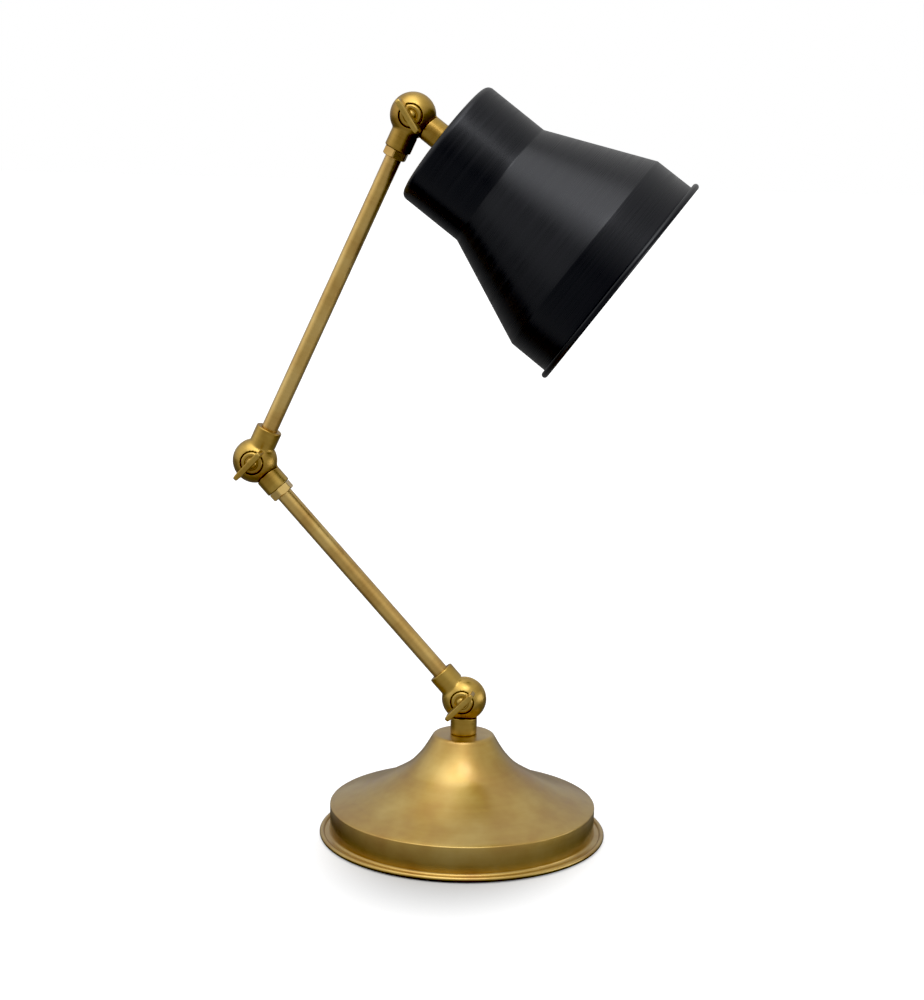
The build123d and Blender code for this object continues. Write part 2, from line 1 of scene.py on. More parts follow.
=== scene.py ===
"""Swing arm desk lamp: the finished surfaces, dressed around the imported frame."""

import json
import logging
import math
from dataclasses import dataclass
from enum import Enum
from typing import Sequence

import bmesh
import bpy
import numpy as np
from mathutils import Matrix, Vector


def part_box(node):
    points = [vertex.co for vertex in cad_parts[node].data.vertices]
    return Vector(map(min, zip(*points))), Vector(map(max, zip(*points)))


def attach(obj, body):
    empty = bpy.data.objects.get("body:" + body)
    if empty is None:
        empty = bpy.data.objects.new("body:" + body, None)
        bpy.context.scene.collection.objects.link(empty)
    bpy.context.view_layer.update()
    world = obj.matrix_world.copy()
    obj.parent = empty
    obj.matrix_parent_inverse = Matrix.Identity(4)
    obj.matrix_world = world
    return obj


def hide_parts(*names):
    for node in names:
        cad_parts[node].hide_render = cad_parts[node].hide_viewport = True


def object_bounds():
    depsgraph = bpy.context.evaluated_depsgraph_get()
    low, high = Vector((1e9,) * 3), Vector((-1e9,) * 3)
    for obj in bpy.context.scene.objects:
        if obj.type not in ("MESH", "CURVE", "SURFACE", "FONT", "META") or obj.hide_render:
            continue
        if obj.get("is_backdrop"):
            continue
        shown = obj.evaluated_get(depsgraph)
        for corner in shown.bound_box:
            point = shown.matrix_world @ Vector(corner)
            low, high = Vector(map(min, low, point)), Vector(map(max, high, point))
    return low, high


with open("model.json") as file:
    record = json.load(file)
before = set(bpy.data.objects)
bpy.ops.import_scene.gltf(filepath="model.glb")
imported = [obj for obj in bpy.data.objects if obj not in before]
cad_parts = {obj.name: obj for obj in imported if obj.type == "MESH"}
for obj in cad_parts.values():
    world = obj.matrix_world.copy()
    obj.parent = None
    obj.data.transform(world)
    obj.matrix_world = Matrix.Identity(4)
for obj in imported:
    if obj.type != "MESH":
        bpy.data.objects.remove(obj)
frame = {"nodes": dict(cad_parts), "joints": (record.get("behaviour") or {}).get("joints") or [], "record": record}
cad_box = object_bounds()
log = logging.getLogger("desk_lamp")

MM = 0.001
Points = np.ndarray
Corner = tuple[float, float]
Place = tuple[float, float, float]
Tree = bpy.types.NodeTree
Socket = bpy.types.NodeSocket

STRAIGHT = 0.01  # radians; a corner nearer to straight than this takes no arc
POLE_MERGE = 1e-7  # metres; closes a pole or a seam of a new surface
SLIVER = 1e-8  # metres; an edge as short as this is dissolved
COPY_MERGE = 1e-6  # metres; joins the loose triangles of a copied node


# ---- Axes and meshes ------------------------------------------------------------------------


@dataclass(frozen=True)
class Spindle:
    """A straight axis in the row frame, with a square-on pair of side directions."""

    origin: Place
    along: Place

    def basis(self) -> Points:
        """Works out the axis's own directions.

        Returns:
            Rows of the first side, the second side and the axis, each of length 1. On an axis
            square to Y the second side is +Y.
        """
        along = np.array(self.along, float)
        along /= np.linalg.norm(along)
        guide = np.array((0.0, 1.0, 0.0)) if abs(along[1]) < 0.9 else np.array((1.0, 0.0, 0.0))
        first = np.cross(guide, along)
        first /= np.linalg.norm(first)
        return np.array((first, np.cross(along, first), along))

    def place(self, local: Points) -> Points:
        """Carries points from the axis's own frame, in millimetres, to the row frame in metres.

        Args:
            local: rows of side, side and along.

        Returns:
            Rows of x, y and z.
        """
        return np.array(self.origin) + local @ self.basis() * MM

    def turn(self) -> Place:
        """The Euler angles that carry +Z to the axis, for a Mapping node."""
        return tuple(Matrix(self.basis().T.tolist()).to_euler())


def fillet_outline(corners: Sequence[Corner], radii: Sequence[float], step: float = 0.25) -> Points:
    """Rounds the inner corners of an open outline.

    Each corner is replaced by the arc of its radius that touches both of its runs. The arc's
    centre lies on the corner's bisector, at the radius over the sine of half the inner angle.

    Args:
        corners: radius and distance along the axis, in millimetres.
        radii: one for each corner but the first and last; 0 leaves the corner sharp.
        step: the longest chord along an arc.

    Returns:
        The outline's points, one row each.
    """
    points = [np.array(corners[0], float)]
    for before, corner, after, radius in zip(corners, corners[1:], corners[2:], radii):
        here = np.array(corner, float)
        back = np.array(before, float) - here
        ahead = np.array(after, float) - here
        back /= np.linalg.norm(back)
        ahead /= np.linalg.norm(ahead)
        half = math.acos(np.clip(back @ ahead, -1, 1)) / 2
        if radius <= 0 or half > math.pi / 2 - STRAIGHT:
            points.append(here)
            continue
        bisector = (back + ahead) / np.linalg.norm(back + ahead)
        centre = here + bisector * radius / math.sin(half)
        start = here + back * radius / math.tan(half) - centre
        end = here + ahead * radius / math.tan(half) - centre
        count = max(4, int(radius * (math.pi - 2 * half) / step) + 1)
        share = np.linspace(0, 1, count)[:, None]
        angle = math.pi - 2 * half
        arc = (np.sin((1 - share) * angle) * start + np.sin(share * angle) * end) / math.sin(angle)
        points.extend(centre + arc)
    points.append(np.array(corners[-1], float))
    return np.array(points)


def hermite_outline(knots: Sequence[Corner], first: Corner, last: Corner, count: int) -> Points:
    """A smooth line through knots with given end directions.

    Each span is a cubic Hermite curve, whose slope at a knot is half the step between that knot's
    neighbours; the two ends take the given directions at the length of their own span.

    Args:
        knots: radius and distance along the axis.
        first: direction at the first knot.
        last: direction at the last knot.
        count: points in each span.

    Returns:
        The line's points.
    """
    knot = np.array(knots, float)
    slope = np.empty_like(knot)
    slope[1:-1] = (knot[2:] - knot[:-2]) / 2
    slope[0] = np.array(first) / np.linalg.norm(first) * np.linalg.norm(knot[1] - knot[0])
    slope[-1] = np.array(last) / np.linalg.norm(last) * np.linalg.norm(knot[-1] - knot[-2])
    t = np.linspace(0, 1, count, endpoint=False)[None, :, None]
    a, b = knot[:-1, None], knot[1:, None]
    m, n = slope[:-1, None], slope[1:, None]
    curve = (
        (2 * t**3 - 3 * t**2 + 1) * a
        + (t**3 - 2 * t**2 + t) * m
        + (3 * t**2 - 2 * t**3) * b
        + (t**3 - t**2) * n
    )
    return np.vstack((curve.reshape(-1, 2), knot[-1:]))


def resample(outline: Points, longest: float) -> Points:
    """Adds points to an outline's long runs, evenly along each.

    Args:
        outline: rows of radius and distance along the axis.
        longest: the longest chord that may stay, in millimetres.

    Returns:
        The outline with the added rows.
    """
    runs = np.linalg.norm(np.diff(outline, axis=0), axis=1)
    pieces = [
        a + (b - a) * np.linspace(0, 1, max(1, math.ceil(run / longest)), endpoint=False)[:, None]
        for a, b, run in zip(outline[:-1], outline[1:], runs)
    ]
    return np.vstack(pieces + [outline[-1:]])


def beside(outline: Points, gap: float) -> Points:
    """An outline moved along its normal, to the right of its run where the gap is above 0.

    Args:
        outline: rows of radius and distance along the axis.
        gap: how far it moves, in millimetres.

    Returns:
        The moved rows.
    """
    tangent = np.gradient(outline, axis=0)
    tangent /= np.linalg.norm(tangent, axis=1)[:, None]
    return outline + np.stack((tangent[:, 1], -tangent[:, 0]), axis=1) * gap


def grid_faces(rows: int, columns: int, closed_rows: bool) -> Points:
    """Quads of a grid whose columns close on themselves, and whose rows may too.

    Args:
        rows: the grid's rows.
        columns: the grid's columns.
        closed_rows: whether the last row joins the first.

    Returns:
        Rows of four vertex numbers.
    """
    row = np.arange(rows if closed_rows else rows - 1)[:, None]
    column = np.arange(columns)[None, :]
    next_row = (row + 1) % rows
    next_column = (column + 1) % columns
    quads = (
        row * columns + column,
        row * columns + next_column,
        next_row * columns + next_column,
        next_row * columns + column,
    )
    return np.stack(np.broadcast_arrays(*quads), axis=-1).reshape(-1, 4)


def full_turn(columns: int) -> Points:
    """One row of even angles once round."""
    return np.linspace(0, 2 * np.pi, columns, endpoint=False)[None, :]


def around(radius: Points | float, angle: Points, along: Points | float) -> Points:
    """Points at a radius and an angle about an axis: radius times cosine, radius times sine, along.

    Args:
        radius: a column, a grid or one value.
        angle: one row, in radians.
        along: a column or one value.

    Returns:
        Rows of side, side and along, one grid row after the other.
    """
    parts = np.broadcast_arrays(radius * np.cos(angle), radius * np.sin(angle), along)
    return np.stack(parts, axis=-1).reshape(-1, 3)


def local_points(mesh: bpy.types.Mesh, spindle: Spindle) -> Points:
    """Carries a mesh's vertices to an axis's own frame.

    Args:
        mesh: a mesh in the row frame, in metres.
        spindle: the axis.

    Returns:
        Rows of side, side and along, in millimetres.
    """
    points = np.empty(len(mesh.vertices) * 3)
    mesh.vertices.foreach_get("co", points)
    return (points.reshape(-1, 3) - spindle.origin) @ spindle.basis().T / MM


def make_piece(name: str, points: Points, faces: Points, crease: float = 32.0) -> bpy.types.Object:
    """Makes an object from a grid, closes its poles and points its faces outwards.

    Args:
        name: the piece's name.
        points: vertices in the row frame, in metres.
        faces: rows of four vertex numbers.
        crease: the angle in degrees past which an edge is drawn sharp.

    Returns:
        The new object, at the origin.
    """
    mesh = bpy.data.meshes.new(name)
    mesh.from_pydata(points.tolist(), [], faces.tolist())
    work = bmesh.new()
    work.from_mesh(mesh)
    bmesh.ops.remove_doubles(work, verts=work.verts, dist=POLE_MERGE)
    bmesh.ops.dissolve_degenerate(work, edges=work.edges, dist=SLIVER)
    bmesh.ops.recalc_face_normals(work, faces=work.faces)
    work.to_mesh(mesh)
    work.free()
    mesh.shade_smooth()
    mesh.set_sharp_from_angle(angle=math.radians(crease))
    piece = bpy.data.objects.new(name, mesh)
    bpy.context.scene.collection.objects.link(piece)
    return piece


def turned(
    name: str, outline: Points, spindle: Spindle, closed: bool, segments: int
) -> bpy.types.Object:
    """A surface of revolution: each outline point goes round the axis at its radius.

    Args:
        name: the piece's name.
        outline: radius and distance along the axis, in millimetres.
        spindle: the axis.
        closed: whether the outline's end joins its start; otherwise both ends lie on the axis.
        segments: columns round the axis.

    Returns:
        The turned piece.
    """
    local = around(outline[:, :1], full_turn(segments), outline[:, 1:])
    faces = grid_faces(len(outline), segments, closed)
    return make_piece(name, spindle.place(local), faces)


def settle(
    piece: bpy.types.Object, body: str, node: str, finish: bpy.types.Material
) -> None:
    """Gives a piece its place in the assembly, and its finish.

    Args:
        piece: the finished piece.
        body: the moving body that carries it.
        node: the CAD node that it stands for.
        finish: its material.
    """
    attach(piece, body)
    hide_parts(node)
    piece.data.materials.clear()
    piece.data.materials.append(finish)
    log.info("%s: %d faces on %s", piece.name, len(piece.data.polygons), body)


BALL_RADIUS = 13.7
STEM_RADIUS = 8.0
EASE_CELL = 0.3  # of the even grid that a half ball is rebuilt on
EASE_ROUNDS = 6
EASE_FACTOR = 0.5  # how far a vertex moves to its neighbours' middle in a round
BLEND_REACH = 3.2
BLEND_CORE = 0.3  # the share of the reach within which the blend is full
BLEND_ROUNDS = 70
BLEND_LEVELS = 10  # steps of the blend's weight
SPLIT_CLEAR = 2.0  # the blend fades in over this depth from half of it behind the split face


def bake(piece: bpy.types.Object) -> None:
    """Applies a piece's modifiers to its mesh.

    Args:
        piece: the piece, which keeps its name.
    """
    graph = bpy.context.evaluated_depsgraph_get()
    baked = bpy.data.meshes.new_from_object(piece.evaluated_get(graph))
    piece.modifiers.clear()
    piece.data = baked
    baked.name = piece.name


def softened(name: str, node: str, stem: Spindle, outward: float) -> bpy.types.Object:
    """A copy of a machined node with its edges eased, as tumbling and polishing leave them.

    The copy is merged, rebuilt on a fine even grid, and each vertex then moves half way to the
    middle of its neighbours a few times, which rounds an edge to about two cells. Many more rounds
    follow where the stem leaves the ball, with a weight of 1 about that circle that falls to 0
    over the blend's reach, and to 0 at the split face, so that the casting's fillet appears there.

    Args:
        name: the new piece's name.
        node: the CAD node to copy.
        stem: the stem's axis, from the ball's centre.
        outward: -1 for a half on the thumb screw's side, 1 for the other.

    Returns:
        The eased copy.
    """
    mesh = frame["nodes"][node].data.copy()
    work = bmesh.new()
    work.from_mesh(mesh)
    bmesh.ops.remove_doubles(work, verts=work.verts, dist=COPY_MERGE)
    work.to_mesh(mesh)
    work.free()
    piece = bpy.data.objects.new(name, mesh)
    bpy.context.scene.collection.objects.link(piece)
    rebuild = piece.modifiers.new("rebuild", "REMESH")
    rebuild.mode = "VOXEL"
    rebuild.voxel_size = EASE_CELL * MM
    ease = piece.modifiers.new("ease", "SMOOTH")
    ease.factor = EASE_FACTOR
    ease.iterations = EASE_ROUNDS
    bake(piece)
    across, deep, along = local_points(piece.data, stem).T
    root = math.sqrt(BALL_RADIUS**2 - STEM_RADIUS**2)
    away = np.hypot(np.hypot(across, deep) - STEM_RADIUS, along - root)
    clear = np.clip(deep * outward / SPLIT_CLEAR - 0.5, 0, 1)
    near = np.clip(1 + BLEND_CORE - away / BLEND_REACH, 0, 1)
    weight = np.round(near * clear * BLEND_LEVELS) / BLEND_LEVELS
    group = piece.vertex_groups.new(name="root")
    for level in np.unique(weight[weight > 0]):
        group.add(np.flatnonzero(weight == level).tolist(), float(level), "REPLACE")
    blend = piece.modifiers.new("blend", "SMOOTH")
    blend.factor = EASE_FACTOR
    blend.iterations = BLEND_ROUNDS
    blend.vertex_group = group.name
    bake(piece)
    piece.vertex_groups.clear()
    piece.data.shade_smooth()
    return piece


# ---- Finishes -------------------------------------------------------------------------------


def linear(colour: str) -> tuple[float, float, float, float]:
    """Turns an sRGB hex colour to linear values.

    Args:
        colour: a hash and six hex digits.

    Returns:
        Linear red, green and blue, and a full alpha.
    """
    shares = [int(colour[i : i + 2], 16) / 255 for i in (1, 3, 5)]
    values = [s / 12.92 if s <= 0.04045 else ((s + 0.055) / 1.055) ** 2.4 for s in shares]
    return (*values, 1.0)


def add_node(tree: Tree, kind: str, links: dict | None = None, **settings) -> bpy.types.Node:
    """Adds a shader node.

    Args:
        tree: the material's node tree.
        kind: the node's type name, without its ShaderNode prefix.
        links: input name or number to an output socket or a plain value.
        settings: the node's own properties.

    Returns:
        The new node.
    """
    node = tree.nodes.new(f"ShaderNode{kind}")
    for key, value in settings.items():
        setattr(node, key, value)
    for key, value in (links or {}).items():
        if isinstance(value, bpy.types.NodeSocket):
            tree.links.new(value, node.inputs[key])
        else:
            node.inputs[key].default_value = value
    return node


def ramp(tree: Tree, source: Socket, stops: Sequence[tuple[float, str]]) -> Socket:
    """A colour ramp.

    Args:
        tree: the node tree.
        source: the value that picks the colour.
        stops: a share of the source and its sRGB hex colour, from low to high.

    Returns:
        The colour output.
    """
    node = add_node(tree, "ValToRGB", {0: source})
    elements = node.color_ramp.elements
    while len(elements) < len(stops):
        elements.new(0.5)
    for element, (place, colour) in zip(elements, stops):
        element.position = place
        element.color = linear(colour)
    return node.outputs[0]


def spread(tree: Tree, source: Socket, low: float, high: float) -> Socket:
    """Maps a pattern's middle stretch, 0.3 to 0.7, to a range; returns the value output."""
    limits = {0: source, 1: 0.3, 2: 0.7, 3: low, 4: high}
    return add_node(tree, "MapRange", limits).outputs[0]


def blank(name: str) -> tuple[bpy.types.Material, Tree, bpy.types.Node]:
    """Makes a new material with a main shader.

    Args:
        name: the material's name.

    Returns:
        The material, its node tree and its shader.
    """
    material = bpy.data.materials.new(name)
    material.use_nodes = True
    tree = material.node_tree
    return material, tree, tree.nodes["Principled BSDF"]


def pattern(tree: Tree, vector: Socket, size: float, detail: float, rough: float = 0.5) -> Socket:
    """Noise whose main lumps are the given size in millimetres, in metre coordinates."""
    values = {"Vector": vector, "Scale": 1 / (size * MM), "Detail": detail, "Roughness": rough}
    return add_node(tree, "TexNoise", values).outputs["Fac"]


def lathe_coordinates(tree: Tree, spindle: Spindle, wander: float) -> Socket:
    """Coordinates that a tool mark on a turned piece follows.

    The piece's own coordinates are centred and turned to its axis. The result is the distance
    from the axis, the place along it, and a small share of the sideways place, so that a pattern
    read there runs round the piece in long streaks.

    Args:
        tree: the material's node tree.
        spindle: the axis that the piece turned about.
        wander: the share of the sideways place.

    Returns:
        The vector output, in metres.
    """
    place = add_node(tree, "TexCoord").outputs["Object"]
    carry = {"Vector": place, "Location": spindle.origin, "Rotation": spindle.turn()}
    centred = add_node(tree, "Mapping", carry, vector_type="TEXTURE").outputs[0]
    parts = add_node(tree, "SeparateXYZ", {0: centred}).outputs
    flat = add_node(tree, "CombineXYZ", {0: parts[0], 1: parts[1]}).outputs[0]
    radius = add_node(tree, "VectorMath", {0: flat}, operation="LENGTH").outputs["Value"]
    drift = add_node(tree, "Math", {0: parts[0], 1: wander}, operation="MULTIPLY").outputs[0]
    return add_node(tree, "CombineXYZ", {0: radius, 1: parts[2], 2: drift}).outputs[0]


class Tooling(Enum):
    """How a brass piece was worked, which sets the spacing of its marks in millimetres."""

    SPUN = 0.9
    DRAWN = 0.6
    TURNED = 0.35


@dataclass(frozen=True)
class AntiqueBrass:
    """Antique brass: brass plate, darkened, relieved with a fine abrasive and lacquered.

    Relieving leaves long marks round the piece and a patchy warm tone; the lacquer keeps the gloss
    even, so the eye gets broad soft highlights with a faint streak in them.
    """

    light: str = "#bfa35a"
    middle: str = "#b39348"
    dark: str = "#a47d38"
    roughness: float = 0.40
    coat: float = 0.9
    coat_roughness: float = 0.22
    patch: float = 26.0  # millimetres across a lighter or a darker patch
    streak_share: float = 0.15
    streak_length: float = 4.0  # widths of a tool mark
    wander: float = 0.02
    relief: float = 0.05  # millimetres; drawn deeper than a relieved plate's, so that it shows

    def dress(self, name: str, spindle: Spindle, tooling: Tooling) -> bpy.types.Material:
        """Builds the finish for a piece that was worked round an axis.

        Args:
            name: the material's name.
            spindle: the axis that the marks run round.
            tooling: how the piece was worked.

        Returns:
            The material.
        """
        material, tree, shader = blank(name)
        place = add_node(tree, "TexCoord").outputs["Object"]
        marks = lathe_coordinates(tree, spindle, self.wander)
        patches = pattern(tree, place, self.patch, 3.0)
        streaks = pattern(tree, marks, tooling.value * self.streak_length, 4.0, 0.6)
        fine = pattern(tree, marks, tooling.value, 3.0, 0.7)
        tone = add_node(tree, "Mix", {0: self.streak_share, 2: patches, 3: streaks}).outputs[0]
        stops = ((0.32, self.dark), (0.52, self.middle), (0.72, self.light))
        tree.links.new(ramp(tree, tone, stops), shader.inputs["Base Color"])
        shader.inputs["Metallic"].default_value = 1.0
        shader.inputs["Coat Weight"].default_value = self.coat
        shader.inputs["Coat Roughness"].default_value = self.coat_roughness
        gloss = spread(tree, streaks, self.roughness - 0.02, self.roughness + 0.04)
        tree.links.new(gloss, shader.inputs["Roughness"])
        bump = {"Height": fine, "Strength": 0.03, "Distance": self.relief * MM}
        tree.links.new(add_node(tree, "Bump", bump).outputs[0], shader.inputs["Normal"])
        return material


@dataclass(frozen=True)
class SatinEnamel:
    """Black stoving enamel on spun steel, satin.

    The paint is thin enough for the spinning marks to show through as faint rings in the gloss.
    """

    colour: str = "#050506"
    grey: str = "#0b0b0d"
    roughness: float = 0.28
    specular: float = 0.4
    tint: str = "#f6f8ff"
    ring: float = 2.2  # millimetres across a spinning mark
    fine_ring: float = 0.7
    wander: float = 0.01
    relief: float = 0.06  # millimetres

    def dress(self, name: str, spindle: Spindle) -> bpy.types.Material:
        """Builds the finish for the spun shade.

        Args:
            name: the material's name.
            spindle: the axis that the shade was spun about.

        Returns:
            The material.
        """
        material, tree, shader = blank(name)
        marks = lathe_coordinates(tree, spindle, self.wander)
        rings = pattern(tree, marks, self.ring, 4.0, 0.65)
        fine = pattern(tree, marks, self.fine_ring, 3.0, 0.7)
        stops = ((0.35, self.colour), (0.7, self.grey))
        tree.links.new(ramp(tree, rings, stops), shader.inputs["Base Color"])
        gloss = spread(tree, rings, self.roughness - 0.05, self.roughness + 0.07)
        tree.links.new(gloss, shader.inputs["Roughness"])
        shader.inputs["IOR"].default_value = 1.5
        shader.inputs["Specular IOR Level"].default_value = self.specular
        shader.inputs["Specular Tint"].default_value = linear(self.tint)
        bump = {"Height": fine, "Strength": 0.12, "Distance": self.relief * MM}
        tree.links.new(add_node(tree, "Bump", bump).outputs[0], shader.inputs["Normal"])
        return material


@dataclass(frozen=True)
class GrainedFinish:
    """A finish whose look is one grain: two tones and a relief at the grain's size, in millimetres.

    The gloss varies more broadly, over twelve grains.
    """

    name: str
    low: str
    high: str
    grain: float
    roughness: float
    metallic: float = 0.0
    relief: float = 0.1
    sheen: float = 0.0
    coat: float = 0.0
    broad: float = 12.0  # grains across a broader patch

    def dress(self) -> bpy.types.Material:
        """Builds the finish.

        Returns:
            The material.
        """
        material, tree, shader = blank(self.name)
        place = add_node(tree, "TexCoord").outputs["Object"]
        grain = pattern(tree, place, self.grain, 5.0, 0.6)
        broad = pattern(tree, place, self.grain * self.broad, 2.0)
        tone = add_node(tree, "Mix", {0: 0.4, 2: grain, 3: broad}).outputs[0]
        stops = ((0.35, self.low), (0.65, self.high))
        tree.links.new(ramp(tree, tone, stops), shader.inputs["Base Color"])
        gloss = spread(tree, broad, self.roughness - 0.05, self.roughness + 0.05)
        tree.links.new(gloss, shader.inputs["Roughness"])
        shader.inputs["Metallic"].default_value = self.metallic
        shader.inputs["Sheen Weight"].default_value = self.sheen
        shader.inputs["Coat Weight"].default_value = self.coat
        bump = {"Height": grain, "Strength": 0.5, "Distance": self.relief * MM}
        tree.links.new(add_node(tree, "Bump", bump).outputs[0], shader.inputs["Normal"])
        return material


# Grey iron as cast: the sand's grains, about 0.8 mm, print as a dull pebbled skin
CAST_IRON = GrainedFinish(
    "grey_cast_iron", "#26272a", "#3a3b3e", 0.8, 0.62, metallic=0.85, relief=0.25
)
# Zinc plate, clear passivated: a dull bluish grey with a fine crystalline mottle of 0.3 mm
ZINC_PLATE = GrainedFinish(
    "zinc_plated_steel", "#8d9094", "#b3b5b6", 0.3, 0.38, metallic=1.0, relief=0.02
)
# Pressed wool felt: tangled fibres, drawn 0.4 mm coarse so that they show, with a soft nap
WOOL_FELT = GrainedFinish("wool_felt", "#15181a", "#2b2e30", 0.4, 0.95, relief=0.35, sheen=0.6)
# Moulded rubber: even and dull, with the mould's 0.5 mm spark-eroded texture
RUBBER = GrainedFinish("moulded_rubber", "#101010", "#1b1b1b", 0.5, 0.7, relief=0.05)
# Vulcanised fibre: hard red-brown sheet, cut to rings, with a papery 0.4 mm fleck
FIBRE = GrainedFinish("vulcanised_fibre", "#4a1d13", "#6b2c1c", 0.4, 0.6, relief=0.04)
# Natural moulded nylon: milky, slightly waxy
NYLON = GrainedFinish("moulded_nylon", "#cfcabb", "#e2dccd", 0.6, 0.45, relief=0.03)
# PVC sheath: soft black, extruded smooth
PVC = GrainedFinish("pvc_sheath", "#121213", "#1d1d1e", 0.5, 0.5, relief=0.02)
# Phenolic moulding: deep brown, glossy from the polished mould, with a 0.7 mm wood-flour fleck
PHENOLIC = GrainedFinish(
    "phenolic_moulding", "#2a1c15", "#3c281d", 0.7, 0.24, relief=0.02, coat=0.3
)
# Steatite: pressed and fired ceramic, off white, unglazed
STEATITE = GrainedFinish("fired_steatite", "#d5cdb9", "#e6dfce", 0.5, 0.55, relief=0.04)
# Nickel plate on brass strip: bright, warm grey, with rolling marks too fine to see
NICKEL = GrainedFinish(
    "nickel_plated_brass", "#a79f8c", "#c9c2b0", 0.4, 0.24, metallic=1.0, relief=0.01
)


# ---- Where the frame puts things ------------------------------------------------------------


class Layout:
    """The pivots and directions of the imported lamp, read from its joints and mounts."""

    def __init__(self) -> None:
        """Reads the frame."""
        joints = {joint["name"]: joint for joint in frame["joints"]}
        self.base = np.array(joints["base_pivot"]["pos_m"])
        self.elbow = np.array(joints["elbow_pivot"]["pos_m"])
        self.head = np.array(joints["head_pivot"]["pos_m"])
        mounts = {mount["name"]: mount for mount in frame["record"]["mounts"]}
        self.shade_way = np.array(mounts["bulb_socket"]["axis"])
        self.inlet = np.array(mounts["cable_inlet"]["pos_m"])

    def foot(self) -> Spindle:
        """The base's own axis, from the table up."""
        return Spindle((0.0, 0.0, 0.0), (0.0, 0.0, 1.0))

    def shade(self) -> Spindle:
        """The shade's axis, from the head's pivot out through its mouth."""
        return Spindle(tuple(self.head), tuple(self.shade_way))

    def pivot(self, place: Points) -> Spindle:
        """A pivot's axis, pointing to the thumb screws' side."""
        return Spindle(tuple(place), (0.0, -1.0, 0.0))


# ---- Base -----------------------------------------------------------------------------------


@dataclass
class Base:
    """The spun shell with its rolled lip, and the bush at its back."""

    layout: Layout
    wall: float = 1.2
    lip_width: float = 6.3
    bead_radius: float = 1.6
    bead_lift: float = 0.4
    band_height: float = 20.0
    cone_width: float = 15.6
    cone_drop: float = 21.0
    plateau_radius: float = 16.5
    shoulder_radius: float = 3.0
    neck_drop: float = 60.0
    bore_radius: float = 5.04
    crease_radius: float = 0.8
    ledge_lift: float = 0.35
    ledge_fillet: float = 1.6
    band_taper: float = 0.25
    chord: float = 4.0
    waist: tuple[Corner, ...] = ((0.19, 0.637), (0.45, 0.357))  # shares of the way out and up
    bead_turn: Corner = (165.0, -178.0)
    bush_bore: float = 3.1
    bush_groove: float = 4.5
    bush_groove_half: float = 0.8

    def outline(self) -> Points:
        """The shell's closed outline, from the plateau down its outer side and back inside.

        The shoulder is an arc, the sweep a smooth line through the waist, and the bead an arc of
        almost a full turn. The inner side is the outer one moved in by the wall along its normal.

        Returns:
            Rows of radius and height, in millimetres.
        """
        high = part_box("base_shell")[1]
        top = high.z / MM
        edge = high.x / MM
        band = edge - self.lip_width
        cone_start = band - self.cone_width
        cone_top = self.band_height + self.cone_width * math.tan(math.radians(self.cone_drop))
        turn = math.radians(self.neck_drop)
        shoulder = np.linspace(0, turn, 10)[:, None]
        rounding = np.hstack(
            (
                self.plateau_radius + self.shoulder_radius * np.sin(shoulder),
                top - self.shoulder_radius * (1 - np.cos(shoulder)),
            )
        )
        start = rounding[-1]
        width, height = cone_start - start[0], start[1] - cone_top
        knots = [tuple(start)]
        knots += [(start[0] + out * width, cone_top + rise * height) for out, rise in self.waist]
        knots += [(cone_start, cone_top)]
        neck_way = (math.cos(turn), -math.sin(turn))
        cone_way = (1.0, -math.tan(math.radians(self.cone_drop)))
        sweep = hermite_outline(knots, neck_way, cone_way, 24)
        bead_centre = np.array((edge - self.bead_radius, self.bead_lift + self.bead_radius))
        ledge = bead_centre[1] + self.ledge_lift
        corners = [
            tuple(sweep[-1]),
            (band, self.band_height),
            (band - self.band_taper, ledge + self.band_taper),
            (bead_centre[0] - self.bead_radius, ledge),
        ]
        side = fillet_outline(corners, [self.crease_radius, self.ledge_fillet])
        lift = np.radians(np.linspace(*self.bead_turn, 40))[:, None]
        bead = bead_centre + self.bead_radius * np.hstack((np.cos(lift), np.sin(lift)))
        outer = np.vstack((rounding, sweep[1:-1], side))
        inner = beside(outer, self.wall)
        inner = inner[(inner[:, 1] > self.bead_lift + self.wall / 2)][::-1]
        rim = [(self.bore_radius, top - self.wall), (self.bore_radius, top)]
        inside_band = inner[inner[:, 0] < band + self.lip_width / 3]
        return resample(np.vstack((outer, bead, inside_band, rim, outer[:1])), self.chord)[:-1]

    def build(self, brass: AntiqueBrass) -> None:
        """Makes and dresses the shell and the bush.

        Args:
            brass: the shell's finish.
        """
        foot = self.layout.foot()
        shell = turned("base_spun_shell", self.outline(), foot, True, 288)
        finish = brass.dress("antique_brass_spun", foot, Tooling.SPUN)
        settle(shell, "base", "base_shell", finish)
        self.build_bush()

    def build_bush(self) -> None:
        """The moulded bush: two eased flanges either side of the band's wall."""
        low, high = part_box("inlet_bush")
        middle = (low + high) / 2
        flange = (high.x - low.x) / 2 / MM
        reach = (high.y - low.y) / 2 / MM
        bore, groove, half = self.bush_bore, self.bush_groove, self.bush_groove_half
        corners = [(bore, 0.0), (bore, -reach), (flange, -reach), (flange, -half), (groove, -half)]
        corners += [(groove, half), (flange, half), (flange, reach), (bore, reach), (bore, 0.0)]
        outline = fillet_outline(corners, [0.6, 0.7, 0.3, 0.0, 0.0, 0.3, 0.9, 0.6], 0.15)
        axis = Spindle(tuple(middle), (0.0, 1.0, 0.0))
        bush = turned("inlet_grommet", outline[:-1], axis, True, 64)
        settle(bush, "base", "inlet_bush", RUBBER.dress())


# ---- Knuckles and thumb screws --------------------------------------------------------------


